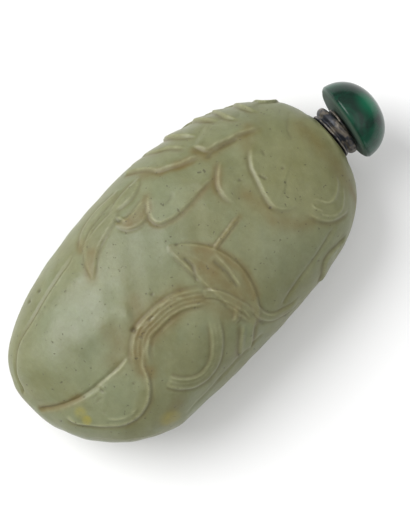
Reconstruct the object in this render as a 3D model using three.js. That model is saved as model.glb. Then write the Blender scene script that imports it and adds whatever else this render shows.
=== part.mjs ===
// A snuff bottle carved from one pebble of pale green jade: a lobed melon wrapped in leaves, vine and
// tendrils in low relief, hollowed through a narrow mouth, with a domed stopper of dark green glass on a
// silver collar. The base is rounded, so the bottle lies on its back.
// Units are mm. X runs across the bottle, Y from its base to its stopper and Z up from the surface.
// "along" is a distance from the base pole, and s is the same as a share of the body's length.
// "turn" is an angle round the long axis: 0 on the front (upper) face, positive towards +X.
import * as THREE from 'three';

// The whole bottle
const overallLength = 71.6;
const baseY = -overallLength / 2;

// The body's long axis: its length up to the shoulder, its height, and its lean across the width
const bodyLength = 61.7;
const axisHeight = 11.4;
const axisXAtBase = -1.2;
const axisXAtMouth = 1.15;

// The body's half-sizes in four directions. Each bulges to "reach" at its belly and closes towards both
// ends as a superellipse, whose two powers say how soon it bends in and how full its end is.
const leftSide = { reach: 17.55, belly: 0.58, low: [1.58, 2.95], high: [1.84, 3.3] };
const rightSide = { reach: 17.45, belly: 0.25, low: [1.56, 2.3], high: [2.74, 3.3] };
const frontFace = { reach: 12.0, belly: 0.45, low: [1.9, 2.5], high: [2.1, 2.9] };
const backFace = { reach: 12.0, belly: 0.48, low: [2.0, 2.6], high: [2.2, 3.0] };
const sectionPower = 2.3;

// The mouth, its low lip, and the hollow inside
const mouthLean = THREE.MathUtils.degToRad(4);
const lipFootRadius = 5.2;
const lipRadius = 4.5;
const lipHeight = 0.35;
const boreRadius = 3.3;
const wall = 3.2;
const hollowFrom = 4.2;
const hollowTo = 57.2;
const hollowFullness = 2.6;
const carvingAllowance = 0.6;

// How finely the skin is divided. Columns are closer together on the carved front.
const outerColumns = 76;
const frontCrowding = 0.42;
const outerRows = 50;
const innerRows = 10;
const trailStep = 0.8;

// The stopper
const corkTopRadius = 2.95;
const corkEndRadius = 2.5;
const corkLength = 4.4;
const corkBevel = 0.3;
const seatAside = 0.1;
const collarFootRadius = 3.95;
const collarFootHeight = 0.4;
const collarWaist = 0.2;
const collarRollRadius = 4.35;
const collarHeight = 2.15;
const recessRadius = 3.5;
const recessFloor = 1.5;
const discRadius = 3;
const discThickness = 0.4;
const domeRadius = 6.48;
const domeHeight = 6.2;
const domeBevel = 0.65;
const domeLean = THREE.MathUtils.degToRad(11);
const domeAside = -0.2;
const tiltClearance = 0.45;
const fitGap = 0.3;

const mix = (a, b, share) => a + (b - a) * share;
const smooth = (from, to, value) => THREE.MathUtils.smoothstep(value, from, to);

// ---- The body's plain form, before it is carved ----

function halfSize(form, s) {
  const below = s < form.belly;
  const away = below ? (form.belly - s) / form.belly : (s - form.belly) / (1 - form.belly);
  const [bend, fullness] = below ? form.low : form.high;
  const size = form.reach * Math.max(1 - away ** bend, 0) ** (1 / fullness);
  const mouthShare = below ? 0 : away ** 6;
  return Math.cbrt(size ** 3 + (lipFootRadius * mouthShare) ** 3);
}

const mouthNearness = (s) => smooth(0.86, 1, s);
const axisX = (s) => mix(axisXAtBase, axisXAtMouth, s);

// The point on the plain body that lies at "across" (-1 to 1 of the half-width) and "up" (-1 to 1 of the
// half-thickness) of its section at s. The shoulder's end tilts with the mouth.
function skinPoint(across, up, s) {
  const x = across * halfSize(across < 0 ? leftSide : rightSide, s);
  const z = up * halfSize(up < 0 ? backFace : frontFace, s);
  const tilt = Math.tan(mouthLean) * x * mouthNearness(s);
  return new THREE.Vector3(axisX(s) + x, baseY + bodyLength * s - tilt, axisHeight + z);
}

function bodyPoint(turn, s) {
  const power = mix(sectionPower, 2, mouthNearness(s));
  const sine = Math.sin(turn);
  const cosine = Math.cos(turn);
  const size = (Math.abs(sine) ** power + Math.abs(cosine) ** power) ** (-1 / power);
  return skinPoint(sine * size, cosine * size, s);
}

function bodyNormal(turn, s) {
  const step = 0.004;
  const low = THREE.MathUtils.clamp(s, 0.003, 0.997);
  const around = bodyPoint(turn + step, low).sub(bodyPoint(turn - step, low));
  const onward = bodyPoint(turn, Math.min(low + step, 1)).sub(bodyPoint(turn, Math.max(low - step, 0)));
  return around.cross(onward).normalize();
}

// A place on the front or back face, given by X and along, as seen from straight above or below
function facePoint(x, along, face) {
  const s = along / bodyLength;
  const reach = halfSize(x < axisX(s) ? leftSide : rightSide, s);
  const across = THREE.MathUtils.clamp((x - axisX(s)) / reach, -1, 1);
  const up = face * (1 - Math.abs(across) ** sectionPower) ** (1 / sectionPower);
  return skinPoint(across, up, s);
}

// ---- The carving ----

// A trail is a line of points over the skin. Everything carved follows one.
class Trail {
  constructor(points) {
    this.points = points;
    this.travelled = [0];
    for (let i = 1; i < points.length; i += 1) {
      this.travelled.push(this.travelled[i - 1] + points[i].distanceTo(points[i - 1]));
    }
    this.length = this.travelled.at(-1);
  }

  // How far a place lies from the trail, on its left (positive) or right, and how far along it
  locate(place, normal) {
    let best = { gap: Infinity };
    for (let i = 0; i + 1 < this.points.length; i += 1) {
      const leg = this.points[i + 1].clone().sub(this.points[i]);
      const offset = place.clone().sub(this.points[i]);
      const share = THREE.MathUtils.clamp(offset.dot(leg) / leg.lengthSq(), 0, 1);
      const aside = offset.addScaledVector(leg, -share);
      const gap = aside.length();
      if (gap < best.gap) {
        const left = normal.clone().cross(leg);
        const travelled = mix(this.travelled[i], this.travelled[i + 1], share);
        best = { gap, aside: Math.sign(aside.dot(left)) * gap, travelled };
      }
    }
    best.share = best.travelled / this.length;
    return best;
  }
}

// A smooth trail through a few marks [X, along] on the front or back face
function faceTrail(marks, face = 1) {
  const line = new THREE.SplineCurve(marks.map((mark) => new THREE.Vector2(...mark)));
  const steps = Math.ceil(line.getLength() / trailStep);
  return new Trail(line.getSpacedPoints(steps).map((p) => facePoint(p.x, p.y, face)));
}

// A trail that runs up the body at one turn, in degrees
function lobeTrail(turn, from, to) {
  const steps = Math.ceil((to - from) / trailStep);
  const points = [];
  for (let i = 0; i <= steps; i += 1) {
    points.push(bodyPoint(THREE.MathUtils.degToRad(turn), mix(from, to, i / steps) / bodyLength));
  }
  return new Trail(points);
}

// Grooves that part the melon's lobes. On the front they die out under the leaves.
const lobeDepth = 0.85;
const lobeSpread = 2.6;
const lobeGrooves = [
  faceTrail([[0, 0.6], [3.3, 6.2], [4.2, 12.2], [3.8, 18]]),
  faceTrail([[-4.1, 0.6], [-9.6, 5], [-11.7, 13.3], [-13, 21.7]]),
  faceTrail([[15, 38.5], [13.2, 48.3], [11.9, 52.8]]),
  lobeTrail(96, 1, 40),
  lobeTrail(146, 1, 60),
  lobeTrail(-154, 1, 60),
  lobeTrail(-106, 1, 56),
];

// Raised straps: the leaf's stem, the vine's branch, the tendril, the band from the knot to the stem's
// foot, the curl under the mouth, and one vine across the back
const straps = [
  { trail: faceTrail([[1, 42.6], [1.6, 38.7], [2.1, 35.7]]), half: 0.6, rise: 0.25 },
  { trail: faceTrail([[11.5, 34.7], [14.8, 35.1], [16.2, 41.2]]), half: 0.7, rise: 0.3 },
  { trail: faceTrail([[8.9, 29], [13, 25.8], [14.2, 21.2], [11, 17.4]]), half: 1, rise: 0.32 },
  { trail: faceTrail([[6.2, 30.3], [3.9, 26.6], [3.4, 19.9], [7.3, 15.9]]), half: 1.3, rise: 0.3 },
  { trail: faceTrail([[6.7, 58.2], [9.1, 54.9], [7.1, 52.2]]), half: 0.6, rise: 0.25 },
  { trail: faceTrail([[-9, 54], [-3, 42], [4, 30], [2, 18], [-6, 9]], -1), half: 1, rise: 0.45 },
];

// Free edges of leaves: the leaf is on the left of the trail and sinks back into the body over "fall".
// The edge itself rises and dies out over the two lengths of "taper".
const leafEdges = [
  // The long compound leaf down the left shoulder: its inner edge, then the teeth at the outline
  {
    trail: faceTrail([[-12.1, 45.2], [-9.8, 46.4], [-8.6, 49.9], [-6.3, 55.4]]),
    rise: 0.36, fall: 6, taper: [1.5, 3],
  },
  { trail: faceTrail([[-16.5, 35.3], [-12.8, 38.9], [-9.7, 45.5]]), rise: 0.34, fall: 6, taper: [0.5, 2] },
  { trail: faceTrail([[-11.4, 57.4], [-9.2, 58.6], [-8, 60.6]]), rise: 0.35, fall: 2.5, taper: [0, 2] },
  { trail: faceTrail([[-13.9, 54.3], [-11.2, 55.3], [-8.4, 56.8]]), rise: 0.5, fall: 4, taper: [0, 3] },
  { trail: faceTrail([[-15.1, 51.5], [-12.7, 52.2], [-9.1, 54.1]]), rise: 0.5, fall: 4, taper: [0, 3] },
  { trail: faceTrail([[-15.8, 48.3], [-13.9, 49.7], [-11.5, 51.2]]), rise: 0.5, fall: 4, taper: [0, 2.5] },
  { trail: faceTrail([[-16.4, 43.8], [-14.1, 45.5], [-12.1, 47.2]]), rise: 0.5, fall: 4, taper: [0, 2.5] },
  // The broad leaves on the front, the low leaf by the base, and the leaves at the right side
  {
    trail: faceTrail([[-5.5, 51.6], [-0.9, 48.4], [3.5, 47.2], [6.1, 51.5]]),
    rise: 0.34, fall: 7, taper: [2, 7],
  },
  { trail: faceTrail([[-7.2, 47], [-3.8, 43.2], [-0.5, 43.4]]), rise: 0.3, fall: 6, taper: [2, 2.5] },
  {
    trail: faceTrail([[-11.5, 35.5], [-7.8, 32.8], [-5.7, 38.3], [-5.9, 44.3]]),
    rise: 0.3, fall: 3, taper: [2, 3],
  },
  { trail: faceTrail([[7.6, 50.3], [11.6, 53.8], [11.8, 56]]), rise: 0.3, fall: 3, taper: [2, 2] },
  { trail: faceTrail([[3.6, 2.7], [9, 6.2], [11.4, 10.4], [6.6, 16.3]]), rise: 0.34, fall: 3, taper: [2, 3] },
  { trail: faceTrail([[12.6, 7.3], [15.5, 11.6]]), rise: 0.45, fall: 6, taper: [0, 2] },
  { trail: faceTrail([[13.9, 53.4], [14.5, 49.2], [16.2, 44.6]]), rise: 0.4, fall: 4, taper: [2, 1] },
  { trail: faceTrail([[15.9, 30.4], [12.8, 34.5]]), rise: 0.4, fall: 3, taper: [0, 2] },
];

// Leaf blades with a sunk middle vein
const blades = [
  { trail: faceTrail([[-2.4, 31.8], [2.8, 33.8], [9.6, 34.1], [13.8, 33.2]]), half: 2.9, rise: 0.36 },
  { trail: faceTrail([[-14.1, 36], [-13.3, 29.4]]), half: 1.1, rise: 0.32 },
  { trail: faceTrail([[-15.1, 32.5], [-14.9, 28.1], [-12.6, 22.2]]), half: 0.9, rise: 0.32 },
  { trail: faceTrail([[-13, 30.4], [-12.1, 25.5], [-8, 20.3]]), half: 1.4, rise: 0.34 },
  { trail: faceTrail([[-9, 54], [-11.5, 44], [-12, 34]], -1), half: 4.2, rise: 0.55 },
  { trail: faceTrail([[4.2, 30.5], [9, 24], [10.5, 14]], -1), half: 4, rise: 0.55 },
  { trail: faceTrail([[-9, 55], [0, 57], [9, 52]], -1), half: 4, rise: 0.55 },
];

function grooveDepth(trail, place, normal) {
  const { gap, travelled } = trail.locate(place, normal);
  const fade = smooth(0, 8, trail.length - travelled);
  return lobeDepth * fade * Math.exp(-Math.hypot(gap, 0.35) / lobeSpread);
}

function strapRise({ trail, half, rise }, place, normal) {
  const { gap } = trail.locate(place, normal);
  return rise * (1 - smooth(0.5 * half, 1.35 * half, gap));
}

function edgeRise({ trail, rise, fall, taper }, place, normal) {
  const { aside, travelled } = trail.locate(place, normal);
  const fade = smooth(-0.01, taper[0], travelled) * smooth(-0.01, taper[1], trail.length - travelled);
  const sinking = Math.max(1 - Math.max(aside, 0) / fall, 0) ** 1.2;
  return rise * fade * sinking * smooth(-0.5, 0.4, aside);
}

function bladeRise({ trail, half, rise }, place, normal) {
  const { gap, share } = trail.locate(place, normal);
  const outline = half * Math.sin(Math.PI * mix(0.05, 0.95, share)) ** 0.75;
  const cupped = mix(0.65, 1, Math.min(gap / half, 1));
  return rise * cupped * smooth(-0.5, 0.5, outline - gap);
}

function carving(place, normal) {
  const edges = Math.max(...leafEdges.map((edge) => edgeRise(edge, place, normal)));
  const raised = Math.max(edges, ...blades.map((blade) => bladeRise(blade, place, normal)));
  const vine = Math.max(...straps.map((strap) => strapRise(strap, place, normal)));
  const sunk = Math.max(...lobeGrooves.map((groove) => grooveDepth(groove, place, normal)));
  return raised + vine - sunk;
}

// ---- The bottle's skin: up the outside, over the lip, down the bore and round the hollow ----

// The share of the body's length at each row, spaced evenly over the skin and not along the axis
function rowStations(rows) {
  const samples = 600;
  const walked = [0];
  let last = new THREE.Vector2(0, 0);
  for (let i = 1; i <= samples; i += 1) {
    const s = 0.5 - 0.5 * Math.cos(Math.PI * i / samples);
    const mean = (halfSize(leftSide, s) + halfSize(rightSide, s) + 2 * halfSize(frontFace, s)) / 4;
    const next = new THREE.Vector2(mean, bodyLength * s);
    walked.push(walked[i - 1] + next.distanceTo(last));
    last = next;
  }
  const stations = [];
  for (let row = 1; row <= rows; row += 1) {
    const wanted = walked[samples] * row / rows;
    const i = walked.findIndex((length) => length >= wanted - 1e-9);
    const share = (wanted - walked[i - 1]) / (walked[i] - walked[i - 1]);
    stations.push(0.5 - 0.5 * Math.cos(Math.PI * (i - 1 + share) / samples));
  }
  return stations;
}

function carvedPoint(turn, s) {
  const place = bodyPoint(turn, s);
  const normal = bodyNormal(turn, s);
  const fade = smooth(0, 0.03, s) * smooth(0, 0.012, 1 - s);
  place.addScaledVector(normal, carving(place, normal) * fade);
  place.z = Math.max(place.z, 0);
  return place;
}

// A point of a ring round the mouth's axis, at a height above the shoulder
function mouthPoint(turn, radius, height) {
  const x = radius * Math.sin(turn);
  const centreX = axisXAtMouth + height * Math.sin(mouthLean);
  const y = baseY + bodyLength + height - Math.tan(mouthLean) * x;
  return new THREE.Vector3(centreX + x, y, axisHeight + radius * Math.cos(turn));
}

// The hollow is a smooth egg that keeps the wall's thickness from the body and ends in the bore
function hollowPoint(turn, share) {
  const along = mix(hollowFrom, hollowTo, 0.5 + 0.5 * Math.cos(Math.PI * share));
  const middle = (hollowFrom + hollowTo) / 2;
  const swell = Math.sqrt(Math.max(1 - (Math.abs(along - middle) / (middle - hollowFrom)) ** hollowFullness, 0));
  const neck = along > middle ? boreRadius * ((along - middle) / (hollowTo - middle)) ** 8 : 0;
  const acrossSize = Math.hypot((leftSide.reach - wall - carvingAllowance) * swell, neck);
  const upSize = Math.hypot((frontFace.reach - wall - carvingAllowance) * swell, neck);
  const x = axisX(along / bodyLength) + acrossSize * Math.sin(turn);
  return new THREE.Vector3(x, baseY + along, axisHeight + upSize * Math.cos(turn));
}

function bottleGeometry() {
  const turns = [];
  for (let column = 0; column < outerColumns; column += 1) {
    const even = (column / outerColumns) * 2 * Math.PI - Math.PI;
    turns.push(even - frontCrowding * Math.sin(even));
  }
  const innerTurns = turns.filter((_, column) => column % 2 === 0);
  const outside = rowStations(outerRows).map((s) => turns.map((turn) => carvedPoint(turn, s)));
  const lip = [
    turns.map((turn) => mouthPoint(turn, lipRadius, lipHeight)),
    turns.map((turn) => mouthPoint(turn, boreRadius + 0.3, lipHeight)),
  ];
  const inside = [innerTurns.map((turn) => mouthPoint(turn, boreRadius, lipHeight - 0.4))];
  for (let row = 0; row < innerRows; row += 1) {
    inside.push(innerTurns.map((turn) => hollowPoint(turn, row / innerRows)));
  }
  const rings = [...outside, ...lip, ...inside];
  const starts = [];
  const points = [bodyPoint(0, 0)];
  rings.forEach((ring) => {
    starts.push(points.length);
    points.push(...ring);
  });
  points.push(hollowPoint(0, 1));
  const faces = [];
  const cap = (pole, start, count, flip) => {
    for (let i = 0; i < count; i += 1) {
      const pair = [start + i, start + (i + 1) % count];
      faces.push(pole, ...(flip ? pair.reverse() : pair));
    }
  };
  cap(0, starts[0], outerColumns, true);
  for (let ring = 0; ring + 1 < rings.length; ring += 1) {
    const count = rings[ring].length;
    const nextCount = rings[ring + 1].length;
    for (let i = 0; i < nextCount; i += 1) {
      const next = [starts[ring + 1] + i, starts[ring + 1] + (i + 1) % nextCount];
      if (count === nextCount) {
        const here = [starts[ring] + i, starts[ring] + (i + 1) % count];
        faces.push(here[0], here[1], next[0], here[1], next[1], next[0]);
      } else {
        const here = [0, 1, 2].map((k) => starts[ring] + (2 * i + k) % count);
        faces.push(here[0], here[1], next[0], here[1], next[1], next[0], here[1], here[2], next[1]);
      }
    }
  }
  cap(points.length - 1, starts.at(-1), innerTurns.length, false);
  const geometry = new THREE.BufferGeometry().setFromPoints(points);
  geometry.setIndex(faces);
  geometry.computeVertexNormals();
  return geometry;
}

// ---- The stopper: turned pieces on one axis, which here runs along each geometry's own Y ----

const turned = (profile, sides) => {
  return new THREE.LatheGeometry(profile.map((pair) => new THREE.Vector2(...pair)), sides);
};

const corkGeometry = () => turned([
  [0, -corkLength], [corkEndRadius - corkBevel, -corkLength], [corkEndRadius, corkBevel - corkLength],
  [corkTopRadius, 0], [0, 0],
], 16);

// The collar's top is sunk a little, and the disc lies in it
const collarGeometry = () => turned([
  [0, 0], [collarFootRadius, 0], [collarFootRadius, collarFootHeight],
  [collarFootRadius - collarWaist, collarFootHeight + collarWaist],
  [collarRollRadius - 0.15, 1.1], [collarRollRadius, 1.6], [collarRollRadius - 0.15, 2],
  [collarRollRadius - 0.45, collarHeight], [recessRadius, collarHeight], [recessRadius - 0.1, recessFloor],
  [0, recessFloor],
], 24);

const discGeometry = () => turned([
  [0, 0], [discRadius, 0], [discRadius, discThickness], [0, discThickness],
], 24);

function domeGeometry() {
  const profile = [[0, 0], [domeRadius - 1.2 * domeBevel, 0]];
  const steps = 8;
  for (let i = 0; i <= steps; i += 1) {
    const angle = (i / steps) * Math.PI / 2;
    const radius = i === steps ? 0 : domeRadius * Math.cos(angle) ** 0.9;
    profile.push([radius, mix(domeBevel, domeHeight, Math.sin(angle))]);
  }
  return turned(profile, 24);
}

// ---- Putting it together ----

const jade = new THREE.MeshStandardMaterial({ color: 0x8d9572, roughness: 0.35, metalness: 0 });
const cork = new THREE.MeshStandardMaterial({ color: 0x8a5a30, roughness: 0.9, metalness: 0 });
const silver = new THREE.MeshStandardMaterial({ color: 0x3c3f44, roughness: 0.5, metalness: 1 });
const greenGlass = new THREE.MeshStandardMaterial({ color: 0x0b4a2c, roughness: 0.12, metalness: 0 });

function piece(name, geometry, material) {
  const mesh = new THREE.Mesh(geometry, material);
  mesh.name = name;
  return mesh;
}

const bottle = new THREE.Group();
bottle.add(piece('bottle', bottleGeometry(), jade));

// The plug and the collar stand square on the mouth
const seated = new THREE.Group();
const seatHeight = lipHeight + fitGap;
seated.position.set(axisXAtMouth + seatAside, baseY + bodyLength + seatHeight, axisHeight);
seated.rotation.z = -mouthLean;
const plug = piece('stopper_cork', corkGeometry(), cork);
plug.position.y = -fitGap;
seated.add(plug, piece('stopper_collar', collarGeometry(), silver));

// The dome and its disc are set a little askew, so that they close on the collar at its right side only
const askew = new THREE.Group();
askew.position.set(domeAside, recessFloor + fitGap + tiltClearance, 0);
askew.rotation.z = mouthLean - domeLean;
const dome = piece('stopper_dome', domeGeometry(), greenGlass);
dome.position.y = discThickness + fitGap;
askew.add(piece('stopper_disc', discGeometry(), silver.clone()), dome);
seated.add(askew);
bottle.add(seated);

export default bottle;
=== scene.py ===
import math

import bpy
import numpy as np
from mathutils import Matrix, Vector


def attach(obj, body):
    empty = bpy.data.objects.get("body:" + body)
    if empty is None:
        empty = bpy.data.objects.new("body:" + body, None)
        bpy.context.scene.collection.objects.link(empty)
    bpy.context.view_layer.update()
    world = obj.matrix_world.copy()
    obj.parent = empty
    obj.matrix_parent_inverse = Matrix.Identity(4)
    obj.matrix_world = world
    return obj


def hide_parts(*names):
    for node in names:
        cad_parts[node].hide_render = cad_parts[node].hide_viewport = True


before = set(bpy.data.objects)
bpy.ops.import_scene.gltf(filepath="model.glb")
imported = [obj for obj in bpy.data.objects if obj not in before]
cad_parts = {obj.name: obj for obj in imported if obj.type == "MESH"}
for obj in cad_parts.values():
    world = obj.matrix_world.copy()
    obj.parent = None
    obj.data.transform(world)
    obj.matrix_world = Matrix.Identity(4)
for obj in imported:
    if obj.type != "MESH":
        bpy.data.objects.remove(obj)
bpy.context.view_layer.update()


# ---- The camera -------------------------------------------------------------------------------------
# It looks down on the bottle, which lies on its back, from a little towards its base and its right side.
# The long axis runs up to the right in the view.

MM = 0.001
view_azimuth = math.radians(44.96)
view_height = math.radians(83)
view_distance = 0.4
view_centre = Vector((0.9, -0.49, 11.4)) * MM

camera_data = bpy.data.cameras.new("camera")
camera_data.lens = 180.67
camera_data.clip_start = 0.01
camera = bpy.data.objects.new("camera", camera_data)
bpy.context.collection.objects.link(camera)
backward = Vector((
    math.sin(view_azimuth) * math.cos(view_height),
    -math.cos(view_azimuth) * math.cos(view_height),
    math.sin(view_height),
))
rightward = Vector((math.cos(view_azimuth), math.sin(view_azimuth), 0))
upward = backward.cross(rightward)
camera.matrix_world = Matrix.Translation(view_centre + backward * view_distance) @ Matrix((
    rightward, upward, backward)).transposed().to_4x4()
bpy.context.scene.camera = camera


# ---- The floor and the light ------------------------------------------------------------------------
# A plain white sweep under the bottle. One large soft lamp hangs over its left and base side, with a
# weak fill lamp opposite, in a room that is bright overhead.

def plain_material(name, colour, roughness):
    material = bpy.data.materials.new(name)
    material.use_nodes = True
    shader = material.node_tree.nodes["Principled BSDF"]
    shader.inputs["Base Color"].default_value = (*colour, 1)
    shader.inputs["Roughness"].default_value = roughness
    return material


floor_half = 0.9
floor_sink = 0.00004
floor_mesh = bpy.data.meshes.new("floor")
floor_mesh.from_pydata(
    [(x * floor_half, y * floor_half, -floor_sink) for x, y in ((-1, -1), (1, -1), (1, 1), (-1, 1))],
    [], [(0, 1, 2, 3)])
floor = bpy.data.objects.new("floor", floor_mesh)
bpy.context.collection.objects.link(floor)
floor_mesh.materials.append(plain_material("white_paper", colour=(0.86, 0.86, 0.86), roughness=0.9))


def area_lamp(name, place, size, power):
    lamp_data = bpy.data.lights.new(name, "AREA")
    lamp_data.shape = "DISK"
    lamp_data.size = size
    lamp_data.energy = power
    lamp = bpy.data.objects.new(name, lamp_data)
    bpy.context.collection.objects.link(lamp)
    lamp.location = place
    lamp.rotation_euler = (-Vector(place)).to_track_quat("-Z", "Y").to_euler()


area_lamp("key_lamp", (-0.40, -0.23, 0.52), size=0.6, power=4.7)
area_lamp("fill_lamp", (0.30, 0.30, 0.55), size=0.5, power=0.4)

# The room is bright overhead and dim near the floor
bpy.context.scene.view_settings.view_transform = "Standard"
world = bpy.data.worlds.new("studio")
world.use_nodes = True
room = world.node_tree
direction = room.nodes.new("ShaderNodeTexCoord")
split = room.nodes.new("ShaderNodeSeparateXYZ")
shade = room.nodes.new("ShaderNodeMapRange")
shade.inputs["From Min"].default_value = -0.1
shade.inputs["From Max"].default_value = 0.9
shade.inputs["To Min"].default_value = 0.15
shade.inputs["To Max"].default_value = 0.93
room.links.new(direction.outputs["Generated"], split.inputs[0])
room.links.new(split.outputs["Z"], shade.inputs["Value"])
room.links.new(shade.outputs["Result"], room.nodes["Background"].inputs["Strength"])
room.nodes["Background"].inputs["Color"].default_value = (1, 1, 1, 1)
bpy.context.scene.world = world


# ---- The bottle -------------------------------------------------------------------------------------
# One pebble of pale green jade, carved as a lobed melon with leaves, vine and tendrils in low relief,
# then hollowed through its mouth and polished to a waxy skin. Sizes here are in mm.

body_length = 61.7
base_y = -35.8
axis_height = 11.4
axis_x_at_base = -1.2
axis_x_at_mouth = 1.15
section_power = 2.3
mouth_lean = math.radians(4)
lip_foot_radius = 5.2
lip_radius = 4.5
lip_height = 0.35
bore_radius = 3.3
wall = 3.2
hollow_from = 4.2
hollow_to = 57.2
hollow_fullness = 2.6
carving_allowance = 0.6
neck_from = 0.86
neck_flare = 6
neck_narrowing = 8
pole_margin = 0.003

# Each half-size: its reach, where its belly is, and the powers of its lower and its upper curve
left_side = (17.55, 0.58, (1.58, 2.95), (1.84, 3.3))
right_side = (17.45, 0.25, (1.56, 2.3), (2.74, 3.3))
front_face = (12.0, 0.45, (1.9, 2.5), (2.1, 2.9))
back_face = (12.0, 0.48, (2.0, 2.6), (2.2, 3.0))

outer_columns = 300
outer_rows = 316
front_crowding = 0.5
hollow_columns = 100
hollow_rows = 26


def smooth(low, high, value):
    share = np.clip((value - low) / (high - low), 0, 1)
    return share * share * (3 - 2 * share)


def half_size(form, s):
    reach, belly, low, high = form
    below = s < belly
    away = np.clip(np.where(below, (belly - s) / belly, (s - belly) / (1 - belly)), 0, 1)
    bend = np.where(below, low[0], high[0])
    fullness = np.where(below, low[1], high[1])
    size = reach * np.maximum(1 - away ** bend, 0) ** (1 / fullness)
    return np.cbrt(size ** 3 + (lip_foot_radius * np.where(below, 0, away ** neck_flare)) ** 3)


def mouth_nearness(s):
    return smooth(neck_from, 1, s)


def axis_x(s):
    return axis_x_at_base + (axis_x_at_mouth - axis_x_at_base) * s


def skin_point(across, up, s):
    x = across * np.where(across < 0, half_size(left_side, s), half_size(right_side, s))
    z = up * np.where(up < 0, half_size(back_face, s), half_size(front_face, s))
    tilt = math.tan(mouth_lean) * x * mouth_nearness(s)
    return np.stack([axis_x(s) + x, base_y + body_length * s - tilt, axis_height + z], -1)


def body_point(turn, s):
    power = section_power + (2 - section_power) * mouth_nearness(s)
    sine, cosine = np.sin(turn), np.cos(turn)
    size = (np.abs(sine) ** power + np.abs(cosine) ** power) ** (-1 / power)
    return skin_point(sine * size, cosine * size, s)


def body_normal(turn, s):
    step = 0.004
    low = np.clip(s, pole_margin, 1 - pole_margin)
    around = body_point(turn + step, low) - body_point(turn - step, low)
    onward = body_point(turn, np.minimum(low + step, 1)) - body_point(turn, np.maximum(low - step, 0))
    normal = np.cross(around, onward)
    return normal / np.linalg.norm(normal, axis=-1, keepdims=True)


def face_point(x, along, face=1):
    """The place on the front or back face with this X, at this distance from the base pole."""
    s = along / body_length
    reach = np.where(x < axis_x(s), half_size(left_side, s), half_size(right_side, s))
    across = np.clip((x - axis_x(s)) / reach, -1, 1)
    up = face * (1 - np.abs(across) ** section_power) ** (1 / section_power)
    return skin_point(across, up, s)


trail_step = 0.45
steps_between_marks = 14
lobe_steps = 60


class Trail:
    """A smooth line over the skin through a few marks (X, along). Everything carved follows one."""

    def __init__(self, marks=None, face=1, points=None):
        if points is None:
            points = face_point(*self.spline(np.array(marks, float)).T, face)
        walked = np.concatenate([[0], np.cumsum(np.linalg.norm(np.diff(points, axis=0), axis=1))])
        even = np.linspace(0, walked[-1], max(int(walked[-1] / trail_step), 3))
        self.points = np.stack([np.interp(even, walked, points[:, axis]) for axis in range(3)], -1)
        self.legs = np.diff(self.points, axis=0)
        self.walked = np.concatenate([[0], np.cumsum(np.linalg.norm(self.legs, axis=1))])
        self.length = self.walked[-1]

    @staticmethod
    def spline(marks):
        spans = []
        for i in range(len(marks) - 1):
            before, start, end = marks[max(i - 1, 0)], marks[i], marks[i + 1]
            after = marks[min(i + 2, len(marks) - 1)]
            t = np.linspace(0, 1, steps_between_marks, endpoint=False)[:, None]
            leaving, arriving = (end - before) / 2, (after - start) / 2
            cubic = (2 * start - 2 * end + leaving + arriving) * t ** 3
            square = (3 * end - 3 * start - 2 * leaving - arriving) * t ** 2
            spans.append(cubic + square + leaving * t + start)
        return np.concatenate([*spans, marks[-1:]])

    def locate(self, places, normals, within=12):
        """For each place: its gap to the trail, how far it lies to the left, and how far along."""
        gap = np.full(len(places), 1e3)
        aside = np.full(len(places), 1e3)
        travelled = np.zeros(len(places))
        low, high = self.points.min(0) - within, self.points.max(0) + within
        near = np.nonzero(np.all((places > low) & (places < high), axis=1))[0]
        best = np.full(len(near), 1e9)
        sign = np.zeros(len(near))
        walk = np.zeros(len(near))
        for start, leg, walked in zip(self.points, self.legs, self.walked):
            offset = places[near] - start
            length = leg @ leg
            share = np.clip(offset @ leg / length, 0, 1)
            offset = offset - share[:, None] * leg
            square = np.einsum("ij,ij->i", offset, offset)
            closer = np.nonzero(square < best)[0]
            best[closer] = square[closer]
            left = np.cross(normals[near][closer], leg)
            sign[closer] = np.sign(np.einsum("ij,ij->i", offset[closer], left))
            walk[closer] = walked + share[closer] * math.sqrt(length)
        gap[near] = np.sqrt(best)
        aside[near] = sign * gap[near]
        travelled[near] = walk
        return gap, aside, travelled

    def fade(self, travelled, start=2.5, end=2.5):
        return smooth(-0.01, start, travelled) * smooth(-0.01, end, self.length - travelled)


def lobe_trail(turn, start, end):
    s = np.linspace(start, end, lobe_steps) / body_length
    return Trail(points=body_point(np.full(lobe_steps, math.radians(turn)), s))


# Grooves between the melon's lobes: trail, share of the full depth, length of the fade at the upper end
lobe_grooves = [
    (Trail([(0, 0.6), (1.3, 2.1), (2.4, 4), (3.3, 6.2), (3.9, 8.9), (4.2, 12.2), (4.2, 15.5),
            (3.8, 18)]), 1.0, 9),
    (Trail([(-4.1, 0.6), (-7, 1.9), (-9.6, 5), (-10.7, 9.1), (-11.7, 13.3), (-12.6, 17.8),
            (-13, 21.7)]), 1.0, 3),
    (Trail([(15, 38.5), (14.3, 41.9), (13.8, 45.3), (13.2, 48.3), (12.6, 50.8), (11.9, 52.8)]), 0.7, 2),
    (Trail([(16, 32.4), (16.1, 28.3), (16.2, 23.4), (16.3, 18.6), (16.1, 14.7)]), 0.55, 4),
    (lobe_trail(100, 1, 50), 0.8, 8),
    (lobe_trail(146, 1, 60), 1.0, 8),
    (lobe_trail(-154, 1, 60), 1.0, 8),
    (lobe_trail(-108, 1, 52), 1.0, 8),
]

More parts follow.
